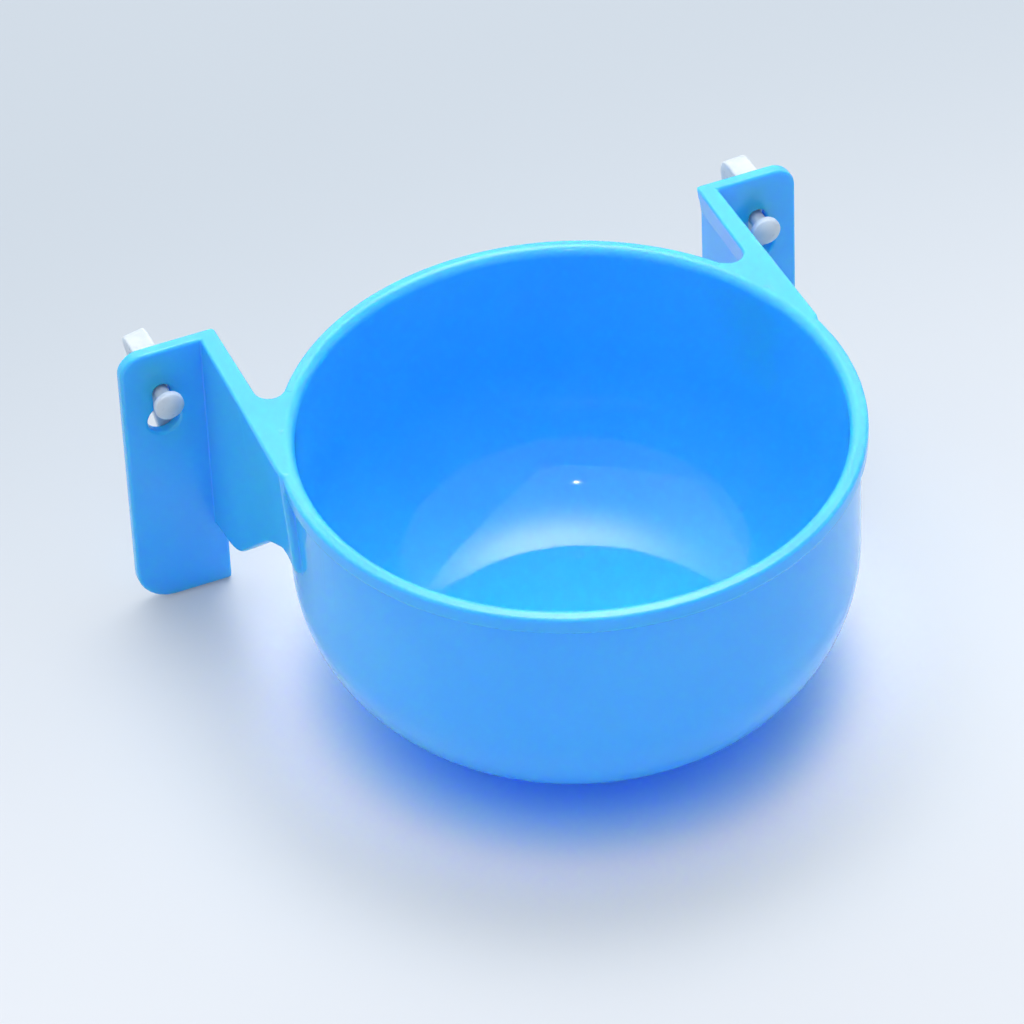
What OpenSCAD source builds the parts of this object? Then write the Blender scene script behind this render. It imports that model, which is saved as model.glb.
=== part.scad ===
// Seed cup that hangs on cage wires: a round bowl with a turned-out rim, two wings behind it that
// end in flat back plates, and a wire hook that turns in the keyhole of each plate.
// Millimetres. The origin is on the bowl's axis, on the table. +Z is up and +Y is towards the cage.

/* [Bowl] */
// Outside diameter of the rim
rim_d = 90; // [70:1:120]
// Height from the table to the top of the rim
cup_h = 50; // [44:1:70]
// Thickness of the moulded wall and floor
wall_t = 1.75; // [1.4:0.05:2.4]
// Outer radius of the turn from the wall to the floor
turn_r = 25; // [16:1:32]

/* [Rim] */
// How far the rim's outer face stands out from the wall
rim_step = 1.15; // [0.6:0.05:1.3]
// Height of the rim's outer face
rim_h = 2.8; // [2:0.1:4]
// Height of the slope under the rim
rim_slope_h = 0.5; // [0.2:0.1:1]
// Rounding of the rim's outer top edge
rim_edge_r = 0.4; // [0.2:0.1:0.9]
// Rounding of the rim's inner top edge
mouth_edge_r = 0.9; // [0.3:0.1:1.2]

/* [Foot ring] */
// Outside diameter of the foot ring
foot_d = 35; // [24:1:38]
// Width of the foot ring's flat face
foot_w = 2; // [1.2:0.1:4]
// Height of the foot ring under the floor
foot_h = 1.8; // [0.8:0.1:3]

/* [Back plates] */
// Width of one back plate
plate_w = 15.65; // [13:0.05:24]
// Thickness of a back plate
plate_t = 2.1; // [1.5:0.1:3]
// Gap between a back plate's lower end and the table
plate_lift = 0.4; // [0:0.1:3]
// Rounding of a plate's outer top corner
plate_top_r = 3.8; // [1:0.2:5]
// Rounding of a plate's outer bottom corner
plate_low_r = 6.2; // [1:0.2:9]

/* [Webs] */
// Thickness of a web where it meets its plate
web_t = 2.2; // [1.4:0.05:2.6]
// How far a web's inner face lies inside the side of the rim
web_inset = 3.35; // [2.6:0.05:4.5]
// How far a web's outer face runs in past the rim's side
web_bite = 0.1; // [0.05:0.05:0.4]
// Height of the thickened band along a web's top edge
band_h = 5.1; // [3:0.1:8]
// How far the band's top edge stands in from the web's inner face
band_out = 0.8; // [0.2:0.1:1.2]
// Plan radius of the corner between a web's band and the rim
band_corner_r = 2.3; // [1:0.1:5]
// Radius that rounds the two bends in the rear half of a web's lower edge
web_bend_r = 14; // [4:1:18]
// Radius that rounds the last hollow, where a web's lower edge turns down to its tip on the bowl
web_tip_bend_r = 6; // [2:0.5:7]

/* [Keyholes] */
// Depth of the slot's round top centre below the top of the plate
slot_depth = 8.3; // [6:0.1:12]
// Distance from the slot's top centre down to the centre of the round hole
slot_drop = 5.3; // [4.6:0.1:9]
// Clearance round the neck in the slot and round the head in the hole
keyhole_play = 0.2; // [0.1:0.05:0.6]

/* [Hooks] */
// Diameter of the neck that turns in the keyhole
neck_d = 2.5; // [1.8:0.1:3.2]
// Free length of neck between the plate and the head
neck_free = 2.2; // [0.8:0.1:4]
// Diameter of the button head
head_d = 4.8; // [3.8:0.1:5.6]
// Thickness of the button head at its middle
head_t = 2; // [1:0.1:2.6]
// Width of the hook from side to side
hook_w = 3.7; // [3.4:0.1:5]
// Thickness of the leg that lies against the plate
leg_t = 2; // [1.4:0.1:3]
// Reach of the leg below the neck
leg_drop = 9.7; // [7:0.1:14]
// Width of the throat that takes a cage wire
throat_w = 2.5; // [1.8:0.1:3.5]
// Thickness of the finger behind the wire
finger_t = 3; // [2:0.1:4]
// Height of the hook's top above the neck
hook_rise = 8; // [6.6:0.1:12]
// Thickness of the hook's bridge over the throat
bridge_t = 2.6; // [2:0.1:4]
// Length of the finger from the hook's top to its tip
finger_l = 14; // [10:0.5:17]
// Radius of the hook's back shoulder
shoulder_r = 4.2; // [2:0.1:5]
// Running gap between a hook's leg and the plate
hook_gap = 0.1; // [0.05:0.05:0.4]
// Lean of the left hook about its neck, in degrees
left_lean_deg = -11; // [-45:1:45]
// Lean of the right hook about its neck, in degrees
right_lean_deg = -5; // [-45:1:45]
// Drop of the left hook's neck below the slot's top centre
left_sag = 0.3; // [0:0.1:5]
// Drop of the right hook's neck below the slot's top centre
right_sag = 0.5; // [0:0.1:5]

/* [Hidden] */
$fn = 128;

// Overrun of a cut past the surface that it opens
over = 1;

// Bowl: the radii of the rim and of the wall's two faces, the slope's foot, the turn's centre, and
// the radius where the wings start, which lies in the wall past the mouth's rounding
rim_r = rim_d / 2;
wall_out_r = rim_r - rim_step;
wall_in_r = wall_out_r - wall_t;
slope_z = cup_h - rim_h - rim_slope_h;
turn_x = wall_out_r - turn_r;
turn_z = foot_h + turn_r;
wing_start_r = (wall_in_r + mouth_edge_r + wall_out_r) / 2;

// Wings: the plate's faces and edges, the web's faces and the band's inner edge
plate_back_y = rim_r;
plate_front_y = plate_back_y - plate_t;
plate_in_x = rim_r - web_inset;
plate_out_x = plate_in_x + plate_w;
web_out_x = plate_in_x + web_t;
band_in_x = plate_in_x - band_out;

// Outline of a web seen from the side, from the plate's foot to the rim, as shares of the distance
// from the bowl's axis to the plate's front and of the cup's height
web_edge_shares = [
    [1, 0.25],
    [0.753, 0.291],
    [0.352, 0.612],
    [0.18, 0.698],
    [0.06, 0.674],
    [0.145, 0.934]
];

// Keyhole: its place across the plate, and the two radii that the hook's neck and head ask for
keyhole_share = 0.58;
keyhole_x = plate_in_x + plate_w * keyhole_share;
slot_z = cup_h - slot_depth;
slot_r = neck_d / 2 + keyhole_play;
hole_r = head_d / 2 + keyhole_play;

// Hook: where its leg, throat and finger lie behind the plate, and the shape of its head
leg_y = plate_back_y + hook_gap;
throat_y = leg_y + leg_t;
finger_y = throat_y + throat_w;
hook_back_y = finger_y + finger_t;
head_dome_share = 0.45;
leg_round_share = 0.45;
head_r = head_d / 2;
dome_h = head_t * head_dome_share;
dome_r = (head_r * head_r + dome_h * dome_h) / (2 * dome_h);

function unit(v) = v / norm(v);

// Point where a line from p just touches the circle that lies web_bite inside the rim's
function rim_touch(p) =
    let (r = rim_r - web_bite, turn = atan2(p[1], p[0]) - acos(r / norm(p)))
    r * [cos(turn), sin(turn)];

// What lies between the corner at p, with sides towards a and b, and the arc of radius r that rounds
// it. It reaches past the corner, so that it cuts a convex corner clean and fills a hollow one whole
module corner_piece(p, a, b, r) {
    side_a = unit(a - p);
    side_b = unit(b - p);
    inwards = unit(side_a + side_b);
    half = acos(side_a * side_b) / 2;
    difference() {
        polygon([p - inwards * over, p + side_a * r / tan(half), p + side_b * r / tan(half)]);
        translate(p + inwards * r / sin(half)) circle(r);
    }
}

// Half section of the space inside the bowl's surface, taken inwards by inset, up to height top
module bowl_space(inset, top) {
    intersection() {
        union() {
            translate([turn_x, turn_z]) circle(turn_r - inset);
            translate([0, foot_h + inset]) square([turn_x, turn_r]);
            translate([0, turn_z]) square([wall_out_r - inset, top - turn_z]);
        }
        square([rim_r, top]);
    }
}

// Half section of the bowl's wall with its rim
module bowl_section() {
    mouth = [wall_in_r, cup_h];
    brink = [rim_r, cup_h];
    difference() {
        union() {
            bowl_space(0, cup_h);
            polygon([
                [0, slope_z],
                [wall_out_r, slope_z],
                [rim_r, cup_h - rim_h],
                brink,
                [0, cup_h]
            ]);
        }
        bowl_space(wall_t, cup_h + over);
        corner_piece(mouth, brink, [wall_in_r, slope_z], mouth_edge_r);
        corner_piece(brink, mouth, [rim_r, slope_z], rim_edge_r);
    }
}

module foot_ring() {
    difference() {
        cylinder(h = foot_h + wall_t / 2, d = foot_d);
        translate([0, 0, -over]) cylinder(h = foot_h + wall_t + over, d = foot_d - 2 * foot_w);
    }
}

// Web seen from the side, Y across and Z up
module web_outline() {
    edge = [for (share = web_edge_shares) [plate_front_y * share[0], cup_h * share[1]]];
    front_y = edge[len(edge) - 1][0];
    difference() {
        union() {
            polygon(concat(
                [[plate_back_y, cup_h], [plate_back_y, edge[0][1]]],
                edge,
                [[front_y, cup_h]]
            ));
            corner_piece(edge[2], edge[1], edge[3], web_bend_r);
            corner_piece(edge[3], edge[2], edge[4], web_tip_bend_r);
        }
        corner_piece(edge[1], edge[0], edge[2], web_bend_r);
    }
}

// Plan of a web: its inner face square to the plate, its outer face touching the rim's circle
module web_plan() {
    knee = [web_out_x, plate_front_y];
    touch = rim_touch(knee);
    polygon([[plate_in_x, touch[1]], touch, knee, [web_out_x, plate_back_y], [plate_in_x, plate_back_y]]);
}

module web() {
    intersection() {
        rotate([90, 0, 90]) linear_extrude(rim_r) web_outline();
        linear_extrude(cup_h) web_plan();
    }
}

// Band along a web's top edge, which leans in from the web's inner face
module band() {
    touch = rim_touch([web_out_x, plate_front_y]);
    intersection() {
        translate([0, plate_back_y, 0]) rotate([90, 0, 0]) linear_extrude(plate_back_y - touch[1]) polygon([
            [plate_in_x, cup_h - band_h],
            [band_in_x, cup_h],
            [rim_r, cup_h],
            [rim_r, cup_h - band_h]
        ]);
        linear_extrude(cup_h) polygon([
            [band_in_x, touch[1]],
            touch,
            [web_out_x, plate_front_y],
            [web_out_x, plate_back_y],
            [band_in_x, plate_back_y]
        ]);
        union() {
            translate([0, 0, cup_h - rim_h]) cube([rim_r, plate_back_y, rim_h]);
            rotate([90, 0, 90]) linear_extrude(rim_r) web_outline();
        }
    }
}

// Fill in the corner between the band and the rim, level with the rim's top
module band_corner() {
    centre_x = band_in_x - band_corner_r;
    centre_y = sqrt(pow(rim_r + band_corner_r, 2) - pow(centre_x, 2));
    touch = rim_r * unit([centre_x, centre_y]);
    meet = [plate_in_x, sqrt(pow(rim_r, 2) - pow(plate_in_x, 2))];
    translate([0, 0, cup_h - rim_h]) linear_extrude(rim_h) difference() {
        polygon([
            [band_in_x, centre_y],
            touch,
            wing_start_r * unit(touch),
            wing_start_r * unit(meet),
            meet,
            [plate_in_x, centre_y]
        ]);
        translate([centre_x, centre_y]) circle(band_corner_r);
    }
}

// Back plate with its keyhole, X across and Z up
module plate_outline() {
    top = [plate_out_x, cup_h];
    low = [plate_out_x, plate_lift];
    difference() {
        translate([plate_in_x, plate_lift]) square([plate_w, cup_h - plate_lift]);
        corner_piece(top, [plate_in_x, cup_h], low, plate_top_r);
        corner_piece(low, [plate_in_x, plate_lift], top, plate_low_r);
        translate([keyhole_x, slot_z]) circle(slot_r);
        translate([keyhole_x - slot_r, slot_z - slot_drop]) square([2 * slot_r, slot_drop]);
        translate([keyhole_x, slot_z - slot_drop]) circle(hole_r);
    }
}

module plate() {
    translate([0, plate_back_y, 0]) rotate([90, 0, 0]) linear_extrude(plate_t) plate_outline();
}

module wing() {
    difference() {
        union() {
            web();
            band();
            band_corner();
        }
        cylinder(h = cup_h + over, r = wing_start_r);
    }
    plate();
}

module seed_cup() {
    color([0.25, 0.6, 0.97]) {
        rotate_extrude() bowl_section();
        foot_ring();
        wing();
        mirror([1, 0, 0]) wing();
    }
}

// Hook's body seen from the side, Y across and Z measured from the neck's axis
module hook_outline() {
    leg_round = leg_t * leg_round_share;
    shoulder = [hook_back_y, hook_rise];
    toe = [throat_y, -leg_drop];
    heel = [leg_y, -leg_drop];
    tip_z = hook_rise - finger_l + finger_t / 2;
    difference() {
        union() {
            translate(heel) square([leg_t, leg_drop + hook_rise]);
            translate([leg_y, tip_z]) square([hook_back_y - leg_y, hook_rise - tip_z]);
            translate([finger_y + finger_t / 2, tip_z]) circle(d = finger_t);
        }
        translate([throat_y, tip_z - finger_t]) square([throat_w, hook_rise - bridge_t - throat_w / 2 - tip_z + finger_t]);
        translate([throat_y + throat_w / 2, hook_rise - bridge_t - throat_w / 2]) circle(d = throat_w);
        corner_piece(shoulder, [leg_y, hook_rise], [hook_back_y, tip_z], shoulder_r);
        corner_piece(toe, heel, [throat_y, hook_rise], leg_round);
        corner_piece(heel, toe, [leg_y, hook_rise], leg_round);
    }
}

// Half section of the button head, from its flat back outwards
module head_section() {
    intersection() {
        square([head_r, head_t]);
        translate([0, head_t - dome_r]) circle(dome_r);
    }
}

// One hook, turned by lean about its neck, which stands on the keyhole's line at height z
module hook(x, z, lean) {
    head_y = plate_front_y - neck_free;
    translate([x, 0, z]) rotate([0, lean, 0]) {
        rotate([90, 0, 90]) linear_extrude(hook_w, center = true) hook_outline();
        translate([0, leg_y + leg_t / 2, 0]) rotate([90, 0, 0])
            cylinder(h = leg_y + leg_t / 2 - head_y + head_t / 4, d = neck_d);
        translate([0, head_y, 0]) rotate([90, 0, 0]) rotate_extrude() head_section();
    }
}

module left_hook() {
    color([0.93, 0.95, 0.97]) hook(-keyhole_x, slot_z - left_sag, left_lean_deg);
}

module right_hook() {
    color([0.93, 0.95, 0.97]) hook(keyhole_x, slot_z - right_sag, right_lean_deg);
}

seed_cup();
left_hook();
right_hook();
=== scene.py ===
# %% [markdown]
# A hanging seed cup is three pieces of plastic: one blue moulding, which is the bowl with its rim, two
# webs and two back plates, and two milky white hooks that turn in the plates' keyholes.
# The packed part holds every real size. This lesson keeps those sizes and makes what a plain solid
# lacks: the small roundings that a mould leaves on every edge, the way the web flows into the rim, and
# plastic that shines, glows through and scatters light.

# %% Load the packed part
import math

import bpy
import numpy as np
from mathutils import Matrix, Vector


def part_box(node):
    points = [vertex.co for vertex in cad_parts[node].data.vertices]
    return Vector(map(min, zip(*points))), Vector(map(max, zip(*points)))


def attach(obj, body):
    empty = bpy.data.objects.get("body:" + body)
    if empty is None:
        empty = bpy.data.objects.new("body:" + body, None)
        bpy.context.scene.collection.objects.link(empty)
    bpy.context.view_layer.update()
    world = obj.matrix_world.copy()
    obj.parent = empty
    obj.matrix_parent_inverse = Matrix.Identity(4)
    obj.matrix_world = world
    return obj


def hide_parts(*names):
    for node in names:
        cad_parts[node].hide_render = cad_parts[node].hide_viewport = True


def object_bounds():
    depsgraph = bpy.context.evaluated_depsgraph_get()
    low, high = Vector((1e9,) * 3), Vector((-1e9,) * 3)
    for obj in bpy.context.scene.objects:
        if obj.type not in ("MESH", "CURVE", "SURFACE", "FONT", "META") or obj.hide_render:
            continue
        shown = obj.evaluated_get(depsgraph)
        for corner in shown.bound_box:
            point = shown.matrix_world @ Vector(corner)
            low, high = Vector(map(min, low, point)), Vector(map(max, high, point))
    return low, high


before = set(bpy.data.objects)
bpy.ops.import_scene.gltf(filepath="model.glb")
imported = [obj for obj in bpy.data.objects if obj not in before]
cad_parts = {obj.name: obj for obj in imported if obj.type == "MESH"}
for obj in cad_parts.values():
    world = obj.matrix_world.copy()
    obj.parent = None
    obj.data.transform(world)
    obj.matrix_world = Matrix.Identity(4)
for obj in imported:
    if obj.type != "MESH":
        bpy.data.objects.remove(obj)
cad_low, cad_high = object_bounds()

MM = 0.001
scene = bpy.context.scene
scene.view_settings.view_transform = "Standard"
print("box of the part in mm:", [round(c / MM, 2) for c in (*cad_low, *cad_high)])

# %% [markdown]
# The camera comes first, because every later choice is judged through it. It stands 0.7 m above the
# table and about 1 m from the cup, to the left of its front, with a long lens. The three angles are
# those at which a cup of this size is seen as the product picture shows it.

# %% The camera
CAMERA_PLACE = Vector((-0.2962, -0.7268, 0.7060))
CAMERA_AZIMUTH = math.radians(21.47)
CAMERA_DIP = math.radians(40.63)
CAMERA_ROLL = math.radians(-2.52)
SENSOR_WIDTH = 36.0
PHOTO_SIDE = 1024
FOCAL_PIXELS = 6747

forward = Vector((
    math.sin(CAMERA_AZIMUTH) * math.cos(CAMERA_DIP),
    math.cos(CAMERA_AZIMUTH) * math.cos(CAMERA_DIP),
    -math.sin(CAMERA_DIP),
))
level_right = Vector((math.cos(CAMERA_AZIMUTH), -math.sin(CAMERA_AZIMUTH), 0))
level_up = level_right.cross(forward)
right = level_right * math.cos(CAMERA_ROLL) + level_up * math.sin(CAMERA_ROLL)
up = level_up * math.cos(CAMERA_ROLL) - level_right * math.sin(CAMERA_ROLL)

camera = bpy.data.objects.new("camera", bpy.data.cameras.new("camera"))
scene.collection.objects.link(camera)
camera.matrix_world = Matrix.Translation(CAMERA_PLACE) @ Matrix((right, up, -forward)).transposed().to_4x4()
camera.data.sensor_width = SENSOR_WIDTH
camera.data.lens = SENSOR_WIDTH * FOCAL_PIXELS / PHOTO_SIDE
camera.data.clip_start = 0.01
camera.data.clip_end = 20
scene.camera = camera
print("camera lens in mm:", round(camera.data.lens, 1), "distance in m:", round(CAMERA_PLACE.length, 3))

# %% [markdown]
# A moulded cup has no sharp corner anywhere: two faces meet in a small round on the outside and in a
# small fillet on the inside. Bevel tools struggle where the web runs into the rim at a few degrees.
# A distance field doesn't. Each piece is a function that says how far a point is outside it, in
# millimetres, and is negative inside. Three short rules combine such fields with true round edges:
# meet keeps what is inside both, join keeps what is inside either, and carve cuts one out of the other.

# %% Rules that combine distance fields
def meet(a, b, r, slant=0.0):
    """Inside both fields, their outer edge rounded to radius r. slant is the normals' cosine."""
    u, v = a + r, b + r
    corner = (u > slant * v) & (v > slant * u)
    arc = np.sqrt(np.maximum(u * u + v * v - 2 * slant * u * v, 0) / (1 - slant * slant)) - r
    return np.where(corner, arc, np.maximum(a, b))


def join(a, b, r, slant=0.0):
    """Inside either field, with their inner corner filled to radius r."""
    return -meet(-a, -b, r, slant)


def carve(a, b, r):
    """Inside a and outside b, with the edge of the cut rounded to radius r."""
    return meet(a, -b, r)


def direction(start, end):
    """Unit vector from one point of a side view to another."""
    return np.subtract(end, start) / np.linalg.norm(np.subtract(end, start))


def left_of(y, z, start, end):
    """Distance from the line through two points of a side view, negative on its left-hand side."""
    along = direction(start, end)
    return (y - start[0]) * along[1] - (z - start[1]) * along[0]


outside_by = round(float(meet(-0.1, -0.1, 0.5)), 3)
print("0.1 mm under both faces of an edge of radius 0.5 mm, a point is", outside_by, "mm outside it")

# %% [markdown]
# A field becomes a mesh by a surface net: the space is cut into small cells, every cell that the
# surface crosses gets one point, and every crossed cell edge gets a square between the four points
# around it. The points are then pushed onto the true surface along the field's slope, and the slope
# is also the exact normal, so that reflections stay smooth on a mesh of modest size.

# %% Slope of a field, and points settled on its surface
SLOPE_STEP = 0.01
FLATTEST_SLOPE = 0.05


def slope(field, points):
    """The field's gradient at each point."""
    steps = SLOPE_STEP * np.eye(3)
    return np.stack([(field(*(points + s).T) - field(*(points - s).T)) / (2 * SLOPE_STEP) for s in steps], 1)


def settle(field, points, reach, rounds):
    """Points moved onto the field's surface, each step no longer than reach."""
    for _ in range(rounds):
        g = slope(field, points)
        step = field(*points.T)[:, None] * g / np.maximum((g * g).sum(1), FLATTEST_SLOPE)[:, None]
        length = np.linalg.norm(step, axis=1)[:, None]
        points = points - step * np.minimum(1, reach / np.maximum(length, 1e-9))
    return points


def seed(x, y, z):
    """A round seed 2 mm across, to try the steps on."""
    return np.sqrt(x * x + y * y + z * z) - 1


landed = settle(seed, np.array([[2.0, 0.0, 1.0]]), 1.0, 4)
print("a point at 2, 0, 1 settles on the seed at", np.round(landed[0], 3))


# %% Surface net
def surface_net(field, low, high, cell):
    """Points and squares on the surface of a field between two corners, in millimetres."""
    ticks = [np.arange(low[k], high[k] + cell, cell) for k in range(3)]
    value = field(*np.meshgrid(*ticks, indexing="ij", sparse=True))
    inside = value < 0
    cells = np.array(value.shape) - 1
    spots, owners, squares = [], [], []
    for axis in range(3):
        near = tuple(slice(0, -1) if k == axis else slice(None) for k in range(3))
        far = tuple(slice(1, None) if k == axis else slice(None) for k in range(3))
        crossed = inside[near] != inside[far]
        edge = np.argwhere(crossed)
        before, after = value[near][crossed], value[far][crossed]
        spot = edge.astype(float)
        spot[:, axis] += before / (before - after)
        u, v = (axis + 1) % 3, (axis + 2) % 3
        around = []
        for du, dv in ((0, 0), (-1, 0), (-1, -1), (0, -1)):
            owner = edge.copy()
            owner[:, u] += du
            owner[:, v] += dv
            around.append(np.ravel_multi_index(owner.T, cells))
            spots.append(spot)
            owners.append(around[-1])
        square = np.stack(around, 1)
        squares.append(np.where((before < 0)[:, None], square, square[:, ::-1]))
    names, place = np.unique(np.concatenate(owners), return_inverse=True)
    spots = np.concatenate(spots)
    count = np.bincount(place)
    mean = np.stack([np.bincount(place, spots[:, k]) / count for k in range(3)], 1)
    return np.array(low) + cell * mean, np.searchsorted(names, np.concatenate(squares))


seed_points, seed_squares = surface_net(seed, (-1.2,) * 3, (1.2,) * 3, 0.4)
print("the seed in cells of 0.4 mm:", len(seed_points), "points", len(seed_squares), "squares")


# %% From field to mesh
ROUNDS = 4
LAST_ROUNDS = 3


def mesh_from_field(name, field, low, high, cell, keep):
    """A smooth object from a field in millimetres. keep is the share of faces left after thinning."""
    points, squares = surface_net(field, low, high, cell)
    points = settle(field, points, cell / 2, ROUNDS)
    mesh = bpy.data.meshes.new(name)
    mesh.from_pydata((points * MM).tolist(), [], squares.tolist())
    piece = bpy.data.objects.new(name, mesh)
    scene.collection.objects.link(piece)
    thin = piece.modifiers.new("thin", "DECIMATE")
    thin.ratio = keep
    thinned = bpy.data.meshes.new_from_object(piece.evaluated_get(bpy.context.evaluated_depsgraph_get()))
    piece.modifiers.clear()
    piece.data = thinned
    spots = np.empty(len(thinned.vertices) * 3)
    thinned.vertices.foreach_get("co", spots)
    spots = settle(field, spots.reshape(-1, 3) / MM, cell / 2, LAST_ROUNDS)
    thinned.vertices.foreach_set("co", (spots * MM).ravel())
    normals = slope(field, spots)
    normals /= np.linalg.norm(normals, axis=1)[:, None]
    thinned.shade_smooth()
    thinned.normals_split_custom_set_from_vertices(normals.tolist())
    bpy.data.meshes.remove(mesh)
    print(f"{name}: {len(squares)} squares thinned to {len(thinned.polygons)} faces")
    return piece


print("points settle in", ROUNDS, "rounds, and in", LAST_ROUNDS, "more once the mesh is thinned")

# %% [markdown]
# The bowl is turned: at any height it is a circle, so its field needs only the distance r from the
# axis and the height z. The outside is a wall that turns through a large round into the flat floor.
# The inside is the same surface moved inwards by the wall's thickness, which is how a mould keeps the
# wall even. The rim steps out at the top, and a low ring under the floor is the foot.

# %% Sizes of the bowl
RIM_R = -cad_low.y / MM
CUP_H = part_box("seed_cup")[1].z / MM
PLATE_OUT_X = cad_high.x / MM
WALL_T = 1.75
RIM_STEP = 1.15
WALL_OUT_R = RIM_R - RIM_STEP
TURN_R = 25.0
FOOT_H = 1.8
FOOT_R = 17.5
FOOT_W = 2.0
RIM_H = 3.0
RIM_EDGE_R = 0.4
RIM_TOP_R = 0.8
MOUTH_EDGE_R = 1.7
UNDER_RIM_R = 0.45
FILLET_R = 0.4
CREASE_R = 0.12


def bowl_skin(r, z):
    """The bowl's outer surface, as if it had no rim and no end at the top."""
    return meet(r - WALL_OUT_R, FOOT_H - z, TURN_R)


def bowl_outside(r, z):
    """The turned moulding from outside: bowl, foot ring and rim."""
    rim = meet(meet(r - RIM_R, CUP_H - RIM_H - z, RIM_EDGE_R), z - CUP_H, RIM_TOP_R)
    ring = meet(np.abs(r - FOOT_R + FOOT_W / 2) - FOOT_W / 2, -z, RIM_EDGE_R)
    ring = np.maximum(ring, z - FOOT_H - WALL_T / 2)
    return join(join(bowl_skin(r, z), rim, UNDER_RIM_R), ring, FILLET_R)


print("in mm: rim radius", round(RIM_R, 2), "wall radius", round(WALL_OUT_R, 2), "height", round(CUP_H, 2))

# %% [markdown]
# Each wing is an L in plan: a web that leaves the rim's side on a tangent, and a back plate square to
# it. Seen from the side, the web's lower edge falls from the bowl to the plate in three straight runs
# with soft bends. Its top edge is a band that leans inwards, and a round fill joins that band to the
# rim at the same level. The field uses the distance from the middle plane, so both wings come at once.

# %% Sizes of the wings
PLATE_T = 2.1
PLATE_W = 15.65
PLATE_LIFT = 0.4
PLATE_TOP_R = 3.8
PLATE_LOW_R = 6.2
WEB_T = 2.2
WEB_BITE = 0.1
BAND_H = 5.1
BAND_OUT = 0.8
BAND_CORNER_R = 2.3
WEB_BENDS = (14.0, 14.0, 6.0)
WEB_END_R = 0.9
EDGE_R = 0.5
PLATE_BACK_Y = RIM_R
PLATE_FRONT_Y = PLATE_BACK_Y - PLATE_T
PLATE_IN_X = PLATE_OUT_X - PLATE_W
WEB_OUT_X = PLATE_IN_X + WEB_T
BAND_IN_X = PLATE_IN_X - BAND_OUT
WEB_EDGE_SHARES = ((1, 0.25), (0.753, 0.291), (0.352, 0.612), (0.18, 0.698), (0.06, 0.674), (0.145, 0.934))
web_edge = [(PLATE_FRONT_Y * a, CUP_H * b) for a, b in WEB_EDGE_SHARES]
print("plates", PLATE_W, "mm wide and", PLATE_T, "mm thick, webs", WEB_T, "mm thick")

# %% [markdown]
# Each plate has a keyhole: a slot that holds the hook's neck, over a round hole that lets its head
# through. Turned upside down it is the hole that every picture hanger knows. One field makes both, by
# measuring from a line for the slot and from that line's lower end for the hole.

# %% Keyhole sizes
KEYHOLE_SHARE = 0.58
KEYHOLE_PLAY = 0.2
SLOT_DEPTH = 8.3
SLOT_DROP = 5.3
NECK_R = 1.25
HEAD_R = 2.4
KEYHOLE_X = PLATE_IN_X + PLATE_W * KEYHOLE_SHARE
SLOT_Z = CUP_H - SLOT_DEPTH
print("slot", 2 * (NECK_R + KEYHOLE_PLAY), "mm wide, hole", 2 * (HEAD_R + KEYHOLE_PLAY), "mm across")

# %% The web from the side and from above
runs = list(zip(web_edge[:-1], web_edge[1:]))
turns = [float(direction(*runs[k]) @ direction(*runs[k + 1])) for k in range(len(runs) - 1)]


def web_low_edge(y, z):
    """The web seen from the side, open at the top and in front: what lies above its lower edge."""
    over = [left_of(y, z, run[1], run[0]) for run in runs[:4]]
    low = join(over[1], over[2], WEB_BENDS[1], turns[1])
    low = join(low, over[3], WEB_BENDS[2], turns[2])
    return meet(low, over[0], WEB_BENDS[0], turns[0])


def web_outer_face(x, y):
    """Distance outwards from the web's outer face, which touches a circle just inside the rim's."""
    knee = np.array((WEB_OUT_X, PLATE_FRONT_Y))
    circle_r = RIM_R - WEB_BITE
    turn = math.atan2(knee[1], knee[0]) - math.acos(circle_r / np.linalg.norm(knee))
    return x * math.cos(turn) + y * math.sin(turn) - circle_r


print("bends of the web's lower edge in degrees:", [round(math.degrees(math.acos(c))) for c in turns])


# %% A wing, its corner and its keyhole
def web_inner_face(x, z):
    """Distance inwards from the web's inner face and the band that leans out of it at the top."""
    lean = math.hypot(BAND_OUT, BAND_H)
    band = ((PLATE_IN_X - x) * BAND_H - (z - CUP_H + BAND_H) * BAND_OUT) / lean
    return np.minimum(PLATE_IN_X - x, band)


def wing(x, y, z):
    """One wing, open at the top and at the plate's outer and lower edges."""
    face = meet(web_outer_face(x, y), left_of(y, z, *runs[4][::-1]), WEB_END_R)
    web = meet(face, web_low_edge(y, z), EDGE_R)
    ell = join(web, PLATE_FRONT_Y - y, CREASE_R)
    return meet(meet(ell, web_inner_face(x, z), EDGE_R), y - PLATE_BACK_Y, EDGE_R)


def band_corner(x, y, z):
    """The fill between the band and the rim, level with the rim."""
    centre_x = BAND_IN_X - BAND_CORNER_R
    centre_y = math.sqrt((RIM_R + BAND_CORNER_R) ** 2 - centre_x ** 2)
    beside = (y * centre_x - x * centre_y) / math.hypot(centre_x, centre_y)
    start_y = math.sqrt((RIM_R - RIM_TOP_R) ** 2 - BAND_IN_X ** 2)
    plan = np.maximum(np.maximum(beside, y - centre_y), x - PLATE_IN_X - WEB_T / 2)
    plan = np.maximum(plan, start_y - y)
    plan = np.maximum(plan, BAND_CORNER_R - np.hypot(x - centre_x, y - centre_y))
    return np.maximum(plan, CUP_H - RIM_H - z)


def keyhole(x, z):
    """The slot and the round hole that take the hook's neck and its head."""
    below = np.clip(SLOT_Z - z, 0, SLOT_DROP)
    slot = np.hypot(x - KEYHOLE_X, z - SLOT_Z + below) - NECK_R - KEYHOLE_PLAY
    hole = np.hypot(x - KEYHOLE_X, z - SLOT_Z + SLOT_DROP) - HEAD_R - KEYHOLE_PLAY
    return np.minimum(slot, hole)


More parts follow.
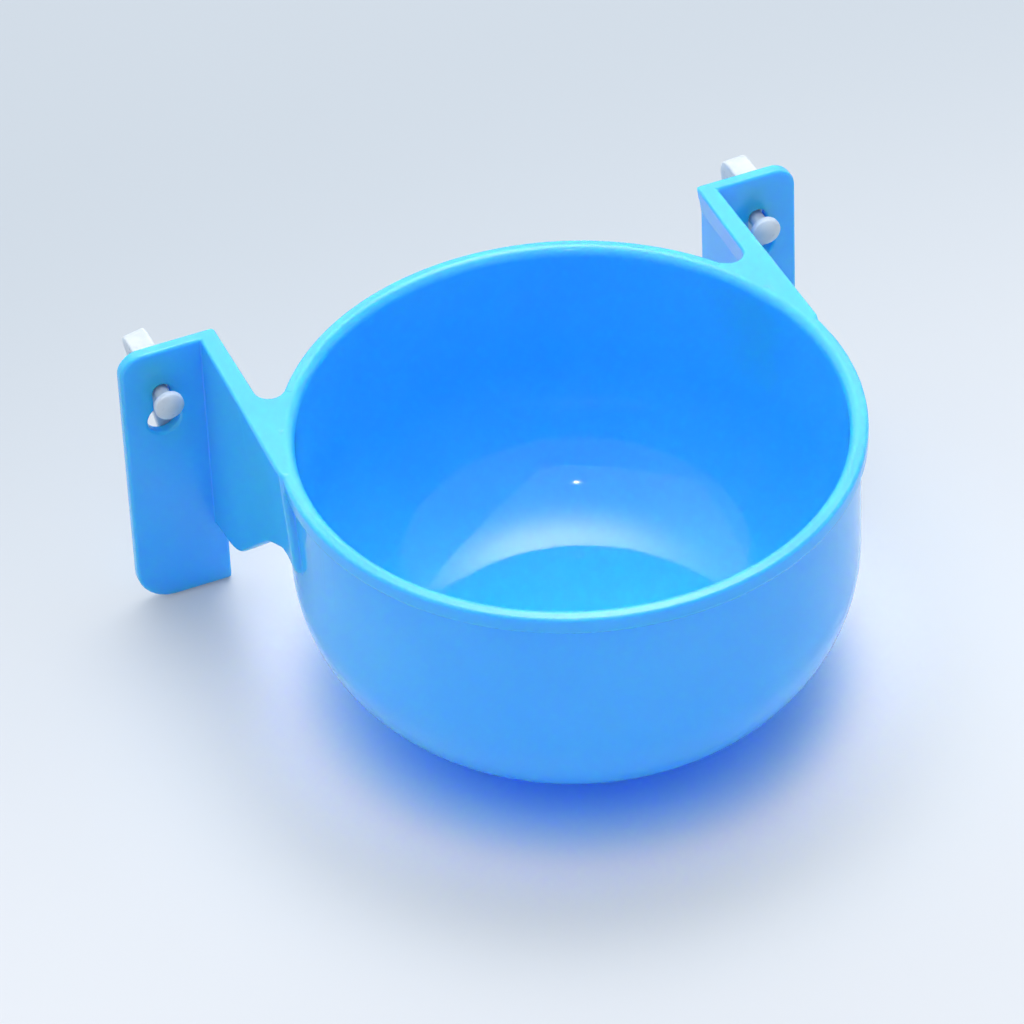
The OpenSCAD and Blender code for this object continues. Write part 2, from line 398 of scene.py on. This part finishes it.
print("the slot's wall is", round(float(-keyhole(KEYHOLE_X, SLOT_Z)), 2), "mm from its middle")

# %% The whole blue moulding
FAR = 10.0
WEB_ROOT = 1.0


def plate_edge(x, z):
    """Bounds the moulding above, and the back plates at their outer and lower edges."""
    side = x - PLATE_OUT_X
    over = meet(side, z - CUP_H, PLATE_TOP_R)
    under = meet(side, PLATE_LIFT - z, PLATE_LOW_R)
    return np.maximum(over, np.where(x > PLATE_IN_X - WEB_ROOT, under, -FAR))


def cup_field(x, y, z):
    """The blue moulding."""
    side = np.abs(x)
    r = np.hypot(x, y)
    outside = join(bowl_outside(r, z), wing(side, y, z), FILLET_R)
    outside = np.minimum(outside, band_corner(side, y, z))
    outside = meet(outside, plate_edge(side, z), EDGE_R)
    holed = carve(outside, np.maximum(keyhole(side, z), PLATE_FRONT_Y - 2 * PLATE_T - y), EDGE_R)
    return carve(holed, bowl_skin(r, z) + WALL_T, MOUTH_EDGE_R)


# %% The cup's mesh
CUP_CELL = 0.45
CUP_KEEP = 0.4
margin = 2 * CUP_CELL
seed_cup = mesh_from_field(
    "seed_cup_moulding",
    cup_field,
    (-PLATE_OUT_X - margin, -RIM_R - margin, -margin),
    (PLATE_OUT_X + margin, PLATE_BACK_Y + margin, CUP_H + margin),
    CUP_CELL,
    CUP_KEEP,
)
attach(seed_cup, "cup")
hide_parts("seed_cup")

# %% [markdown]
# Each hook is a small white moulding: a leg behind the plate, a bridge, a finger that drops behind the
# cage wire, a neck through the keyhole and a button head in front. It is drawn in its own frame, with
# the neck's axis at zero, and then leans about that axis as it hangs in the picture.

# %% Sizes of a hook
NECK_FREE = 2.2
HEAD_T = 2.0
HEAD_DOME_H = HEAD_T * 0.45
HOOK_W = 3.7
LEG_T = 2.0
LEG_DROP = 9.7
THROAT_W = 2.5
FINGER_T = 3.0
HOOK_RISE = 8.0
BRIDGE_T = 2.6
FINGER_L = 14.0
SHOULDER_R = 4.2
HOOK_GAP = 0.1
HOOK_EDGE_R = 0.35
NECK_FILLET_R = 0.3
LEG_Y = PLATE_BACK_Y + HOOK_GAP
FINGER_Y = LEG_Y + LEG_T + THROAT_W
HOOK_BACK_Y = FINGER_Y + FINGER_T
HEAD_Y = PLATE_FRONT_Y - NECK_FREE
LEG_END_R = LEG_T * 0.45
print("hook", HOOK_W, "mm wide, throat for a wire", THROAT_W, "mm wide")


# %% Fields of a hook
def hook_side(y, z):
    """The hook seen from the side: leg, bridge and finger round the wire's throat."""
    leg = meet(np.abs(y - LEG_Y - LEG_T / 2) - LEG_T / 2, -LEG_DROP - z, LEG_END_R)
    tip_z = HOOK_RISE - FINGER_L + FINGER_T / 2
    finger = np.hypot(y - FINGER_Y - FINGER_T / 2, np.minimum(z - tip_z, 0)) - FINGER_T / 2
    crown_z = HOOK_RISE - BRIDGE_T - THROAT_W / 2
    throat = np.hypot(y - FINGER_Y + THROAT_W / 2, np.maximum(z - crown_z, 0)) - THROAT_W / 2
    bridge = np.maximum(np.maximum(LEG_Y - y, y - HOOK_BACK_Y), np.maximum(crown_z - z, -throat))
    whole = np.minimum(np.minimum(leg, finger), bridge)
    return np.maximum(whole, meet(y - HOOK_BACK_Y, z - HOOK_RISE, SHOULDER_R))


def hook_field(x, y, z):
    """A hook in its own frame: z is measured from the neck's axis."""
    body = meet(hook_side(y, z), np.abs(x) - HOOK_W / 2, HOOK_EDGE_R)
    r = np.hypot(x, z)
    neck = np.maximum(r - NECK_R, np.maximum(HEAD_Y - HEAD_T / 2 - y, y - LEG_Y - LEG_T / 2))
    dome_r = (HEAD_R ** 2 + HEAD_DOME_H ** 2) / (2 * HEAD_DOME_H)
    dome = np.hypot(r, y - HEAD_Y + HEAD_T - dome_r) - dome_r
    head = meet(r - HEAD_R, dome, HOOK_EDGE_R, HEAD_R / dome_r)
    head = meet(head, y - HEAD_Y, HOOK_EDGE_R)
    return np.minimum(body, join(neck, head, NECK_FILLET_R))


print("the head stands", round(PLATE_FRONT_Y - HEAD_Y + HEAD_T, 2), "mm in front of the plate")

# %% Both hooks where they hang
HOOK_CELL = 0.2
HOOK_KEEP = 0.5
LEFT_SAG = 0.3
RIGHT_SAG = 0.5
LEFT_LEAN = math.radians(-11)
RIGHT_LEAN = math.radians(-5)
HOOK_PLACES = {
    "left_hook": (-KEYHOLE_X, SLOT_Z - LEFT_SAG, LEFT_LEAN),
    "right_hook": (KEYHOLE_X, SLOT_Z - RIGHT_SAG, RIGHT_LEAN),
}


def hung(place):
    """The hook's field moved to its place and turned by its lean."""
    neck_x, neck_z, lean = place

    def field(x, y, z):
        across, rise = x - neck_x, z - neck_z
        turned_x = across * math.cos(lean) - rise * math.sin(lean)
        turned_z = across * math.sin(lean) + rise * math.cos(lean)
        return hook_field(turned_x, y, turned_z)

    return field


hooks = {}
for node, place in HOOK_PLACES.items():
    low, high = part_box(node)
    low = [c / MM - 2 * HOOK_CELL for c in low]
    high = [c / MM + 2 * HOOK_CELL for c in high]
    hook = mesh_from_field(node + "_moulding", hung(place), low, high, HOOK_CELL, HOOK_KEEP)
    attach(hook, node)
    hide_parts(node)
    hooks[node] = hook

# %% [markdown]
# The finishes are written as sums. A small class wraps a node's socket so that Python's own operators
# add the Math nodes, and one method adds any other node. Numbers that don't vary stay plain numbers on
# the shader's own sockets.

# %% A socket that takes sums
class Wire:
    """A socket that can be added, multiplied and compared like a number."""

    def __init__(self, sheet, socket):
        self.sheet = sheet
        self.socket = socket

    def maths(self, operation, *values):
        return self.sheet.node("ShaderNodeMath", {"operation": operation}, dict(enumerate(values)))

    def __add__(self, other):
        return self.maths("ADD", self, other)

    def __sub__(self, other):
        return self.maths("SUBTRACT", self, other)

    def __rsub__(self, other):
        return self.maths("SUBTRACT", other, self)

    def __mul__(self, other):
        return self.maths("MULTIPLY", self, other)

    def between(self, low, high):
        """0 up to low, 1 from high, smooth in between."""
        limits = {0: self, 1: low, 2: high, 3: 0.0, 4: 1.0}
        return self.sheet.node("ShaderNodeMapRange", {"interpolation_type": "SMOOTHSTEP"}, limits)

    __radd__ = __add__
    __rmul__ = __mul__


print("sums that a socket takes:", [word for word in vars(Wire) if word.startswith("__r")])


# %% A node tree, and a finish for a piece
class Sheet:
    """A node tree: nodes are added by type, with their settings and the values of their sockets."""

    def __init__(self, tree):
        self.tree = tree

    def node(self, kind, settings, sockets, output=0):
        made = self.tree.nodes.new(kind)
        for name, value in settings.items():
            setattr(made, name, value)
        for key, value in sockets.items():
            self.feed(made.inputs[key], value)
        return Wire(self, made.outputs[output])

    def feed(self, socket, value):
        if isinstance(value, Wire):
            self.tree.links.new(value.socket, socket)
        else:
            socket.default_value = value

    def mix(self, share, first, second):
        """Two colours mixed by a share."""
        return self.node("ShaderNodeMix", {"data_type": "RGBA"}, {0: share, 6: first, 7: second}, 2)

    def noise(self, scale, detail=2.0):
        place = self.node("ShaderNodeTexCoord", {}, {}, "Object")
        return self.node("ShaderNodeTexNoise", {}, {"Vector": place, "Scale": scale, "Detail": detail}, 0)

    def bump(self, height, distance, under=None):
        """A Bump node; under is another bump that it lies on."""
        sockets = {"Height": height, "Distance": distance, "Strength": 1.0}
        if under is not None:
            sockets["Normal"] = under
        return self.node("ShaderNodeBump", {}, sockets)


class Finish(Sheet):
    """One material. Values that don't vary are given by the names of the shader's own sockets."""

    def __init__(self, name, **constants):
        self.material = bpy.data.materials.new(name)
        self.material.use_nodes = True
        super().__init__(self.material.node_tree)
        self.shader = self.tree.nodes["Principled BSDF"]
        for label, value in constants.items():
            self.shader.inputs[label.replace("_", " ")].default_value = value

    def give(self, label, value):
        """Feed one of the shader's sockets."""
        self.feed(self.shader.inputs[label], value)

    def wear(self, piece):
        piece.data.materials.clear()
        piece.data.materials.append(self.material)


print("what a finish does:", [word for word in vars(Finish) if not word.startswith("_")])

# %% [markdown]
# The blue is a bright sky blue, coloured right through and polished by the mould. Four things keep it
# from looking like paint. Light travels through it, blue furthest and red hardly at all, so thin walls
# glow and edges soften. The pigment is a little cloudy from the flow of the melt. The polish varies, so
# that reflections are sharper in some places. The skin has the long shallow waves that every glossy
# moulding shows, under a far finer grain. Noise sizes are given as a pair: how many waves there are in
# a metre, and how many finer layers lie over them.

# %% Blue plastic
blue = Finish(
    "cup_plastic_blue",
    IOR=1.49,
    Specular_IOR_Level=0.5,
    Subsurface_Weight=1.0,
    Subsurface_Radius=(0.2, 1.2, 5.5),
    Subsurface_Scale=MM,
)
FACE_BLUE = (0.058, 0.515, 0.985, 1)
CLOUD_BLUE = (0.053, 0.495, 0.98, 1)
CLOUDS, POLISH, WAVES, GRAIN = (55, 3), (160, 4), (110, 1), (2600, 2)
WAVE_H = 0.008 * MM
GRAIN_H = 0.0008 * MM
blue.give("Base Color", blue.mix(blue.noise(*CLOUDS).between(0.35, 0.65), FACE_BLUE, CLOUD_BLUE))
blue.give("Roughness", 0.04 + blue.noise(*POLISH) * 0.08)
waves = blue.bump(blue.noise(*WAVES), WAVE_H)
blue.give("Normal", blue.bump(blue.noise(*GRAIN), GRAIN_H, waves))
blue.wear(seed_cup)
print("blue plastic nodes:", len(blue.tree.nodes))

# %% [markdown]
# The hooks are the same kind of plastic without pigment: milky white, with light passing well through
# the thin neck and finger. Their skin is less polished than the cup's.

# %% Milky plastic
milk = Finish(
    "hook_plastic_milky",
    IOR=1.49,
    Specular_IOR_Level=0.45,
    Subsurface_Weight=0.8,
    Subsurface_Radius=(1.6, 1.8, 2.0),
    Subsurface_Scale=MM,
)
MILK = (0.59, 0.645, 0.70, 1)
MILK_CLOUD = (0.52, 0.575, 0.645, 1)
MILK_CLOUDS, MILK_POLISH, MILK_SKIN = (420, 3), (600, 3), (900, 2)
MILK_SKIN_H = 0.01 * MM
milk.give("Base Color", milk.mix(milk.noise(*MILK_CLOUDS).between(0.35, 0.7), MILK, MILK_CLOUD))
milk.give("Roughness", 0.22 + milk.noise(*MILK_POLISH) * 0.16)
milk.give("Normal", milk.bump(milk.noise(*MILK_SKIN), MILK_SKIN_H))
for hook in hooks.values():
    milk.wear(hook)
print("milky plastic nodes:", len(milk.tree.nodes))

# %% [markdown]
# The stage is a wide sheet of pale paper without a horizon. Its colour grades from near white in front to
# light grey at the back, a painted shade that stands in for the light falling off towards the back, and
# away from the cup the camera and the gloss see it a little brighter than it is lit. Round the foot the
# sheet is a very rough sheen instead of a matt surface, because a matt floor in a path tracer doesn't
# receive the blue light that comes through the cup, and close to the foot its colour is painted blue as
# well. So the blue pool under the belly is partly light through the cup and partly painted blue light;
# it is what shows that the plastic is translucent.

# %% Colours of the paper
FLOOR_HALF = 6.0
# Painted shade: the paper's colour is darker towards the back, standing in for the light falling off there.
PAPER_FRONT = (0.66, 0.69, 0.725, 1)
PAPER_BACK_PAINTED_SHADE = (0.42, 0.465, 0.515, 1)
GLOW_FRONT = (0.78, 0.82, 0.90, 1)
GLOW_BACK = (0.64, 0.71, 0.79, 1)
LIFT = 0.5
SKIRT = (0.94, 0.95, 0.96, 1)
# Painted blue light: the colour of the pool of blue light through the cup, painted on the paper round the
# foot.
PAINTED_BLUE_POOL = (0.42, 0.80, 1.0, 1)
PAINTED_FALLOFF_Y = (-0.05, 0.16)
PAINTED_POOL_R = (0.026, 0.046)
SKIRT_R = (0.046, 0.068)
LIFT_R = (0.046, 0.090)
print("the sheen ends between", [round(reach / MM) for reach in SKIRT_R], "mm from the cup's axis")

# %% Floor
corners = [(x * FLOOR_HALF, y * FLOOR_HALF, 0) for x, y in ((-1, -1), (1, -1), (1, 1), (-1, 1))]
floor_mesh = bpy.data.meshes.new("floor")
floor_mesh.from_pydata(corners, [], [(0, 1, 2, 3)])
floor = bpy.data.objects.new("floor", floor_mesh)
scene.collection.objects.link(floor)
paper = Finish("pale_paper", Roughness=1.0, Specular_IOR_Level=0.1)
spot = paper.node("ShaderNodeTexCoord", {}, {}, "Object")
# Painted shade: the share of the way to the back, which darkens the paper's colour and its glow towards the
# back.
painted_falloff_back = paper.node("ShaderNodeSeparateXYZ", {}, {0: spot}, "Y").between(*PAINTED_FALLOFF_Y)
away = paper.node("ShaderNodeVectorMath", {"operation": "LENGTH"}, {0: spot}, "Value")
beyond = away.between(*SKIRT_R)
# Painted blue light close round the foot, fading into the sheen's own colour further out.
painted_pool_and_sheen = paper.mix(away.between(*PAINTED_POOL_R), PAINTED_BLUE_POOL, SKIRT)
paper.give("Base Color", paper.mix(beyond, painted_pool_and_sheen, paper.mix(painted_falloff_back, PAPER_FRONT, PAPER_BACK_PAINTED_SHADE)))
paper.give("Metallic", 1 - beyond)
paper.wear(floor)
print("floor side in m:", 2 * FLOOR_HALF)

# %% The paper as the camera and the gloss see it
by_camera, by_gloss, by_glass = [
    paper.node("ShaderNodeLightPath", {}, {}, f"Is {way} Ray") for way in ("Camera", "Glossy", "Transmission")
]
seen = by_camera + by_gloss + by_glass
glow = paper.node("ShaderNodeEmission", {}, {"Color": paper.mix(painted_falloff_back, GLOW_FRONT, GLOW_BACK)})
share = seen * away.between(*LIFT_R) * LIFT
lifted = paper.node("ShaderNodeMixShader", {}, {0: share, 1: Wire(paper, paper.shader.outputs[0]), 2: glow})
paper.feed(paper.tree.nodes["Material Output"].inputs["Surface"], lifted)
print("paper nodes:", len(paper.tree.nodes))

# %% [markdown]
# The light is that of a white tent: an even pale sky, brighter at the back, where a white wall stands.
# Over the cup hangs one softbox with a bright middle. The bowl mirrors that middle as the soft pale
# crescent where the wall turns into the floor, and the softbox's straight edge as the line to the left
# of it. A low panel at the back lights the rim's crown. A bare bulb leaves the tiny glint.

# %% Sky
SKY_COLOUR = (0.96, 0.98, 1, 1)
SKY_LEVEL = 0.51
SKY_BACK_GAIN = 0.9
SKY_TURN_Y = (-0.2, 0.8)
world = bpy.data.worlds.new("pale_sky")
scene.world = world
world.use_nodes = True
heaven = Sheet(world.node_tree)
way = heaven.node("ShaderNodeTexCoord", {}, {}, "Generated")
backwards = heaven.node("ShaderNodeSeparateXYZ", {}, {0: way}, "Y")
background = world.node_tree.nodes["Background"]
background.inputs["Color"].default_value = SKY_COLOUR
level = SKY_LEVEL * (1 + backwards.between(*SKY_TURN_Y) * SKY_BACK_GAIN)
heaven.feed(background.inputs["Strength"], level)
print("sky strength in front:", SKY_LEVEL, "at the back:", round(SKY_LEVEL * (1 + SKY_BACK_GAIN), 2))

# %% [markdown]
# A softbox is a lamp behind stretched cloth, brighter in the middle than at its edges. An area light
# gives the cloth's size and place. Its brightness is a sum over the cloth's two directions: an even
# part, and a round bright spot that fades like a bell. At pi watts a square metre its strength is 1.

# %% Softbox
BOX_PLACE = (-0.148, 0.120, 0.62)
BOX_SIZE = (1.16, 0.94)
BOX_TURN = math.radians(57)
BOX_RADIANCE = 0.58
MIDDLE_SHARES = (0.648, 0.287)
MIDDLE_WIDTH = 0.14
MIDDLE_RADIANCE = 7.0
softbox = bpy.data.lights.new("softbox", "AREA")
softbox.shape = "RECTANGLE"
softbox.size, softbox.size_y = BOX_SIZE
softbox.energy = math.pi * BOX_SIZE[0] * BOX_SIZE[1]
softbox.use_nodes = True
cloth = Sheet(softbox.node_tree)
corner = cloth.node("ShaderNodeNewGeometry", {}, {}, "Parametric")
along, across = [
    (cloth.node("ShaderNodeSeparateXYZ", {}, {0: corner}, axis) - share) * side
    for axis, share, side in zip("XY", MIDDLE_SHARES, BOX_SIZE)
]
distance = (along * along + across * across) * (-0.5 / MIDDLE_WIDTH ** 2)
middle = cloth.node("ShaderNodeMath", {"operation": "EXPONENT"}, {0: distance})
cloth.feed(softbox.node_tree.nodes["Emission"].inputs["Strength"], BOX_RADIANCE + middle * MIDDLE_RADIANCE)
softbox_stand = bpy.data.objects.new("softbox", softbox)
softbox_stand.location = BOX_PLACE
softbox_stand.rotation_euler = (0, 0, BOX_TURN)
scene.collection.objects.link(softbox_stand)
print("softbox", BOX_SIZE, "m, at most", BOX_RADIANCE + MIDDLE_RADIANCE, "times as bright as white paper")

# %% Back panel
PANEL_PLACE = Vector((0.25, 0.64, 0.59))
PANEL_SIZE = (0.9, 0.42)
PANEL_RADIANCE = 1.0
panel = bpy.data.lights.new("back_panel", "AREA")
panel.shape = "RECTANGLE"
panel.size, panel.size_y = PANEL_SIZE
panel.energy = PANEL_RADIANCE * math.pi * PANEL_SIZE[0] * PANEL_SIZE[1]
panel_stand = bpy.data.objects.new("back_panel", panel)
panel_stand.location = PANEL_PLACE
panel_stand.rotation_euler = (-PANEL_PLACE).to_track_quat("-Z", "Y").to_euler()
scene.collection.objects.link(panel_stand)
print("back panel", round(PANEL_PLACE.length, 2), "m from the cup")

# %% Bulb
BULB_PLACE = (-0.134, -0.302, 0.60)
BULB_WATTS = 0.25
BULB_R = 0.002
bulb = bpy.data.lights.new("bulb", "POINT")
bulb.energy = BULB_WATTS
bulb.shadow_soft_size = BULB_R
bulb_stand = bpy.data.objects.new("bulb", bulb)
bulb_stand.location = BULB_PLACE
scene.collection.objects.link(bulb_stand)
print("lamps:", [lamp.name for lamp in bpy.data.lights])
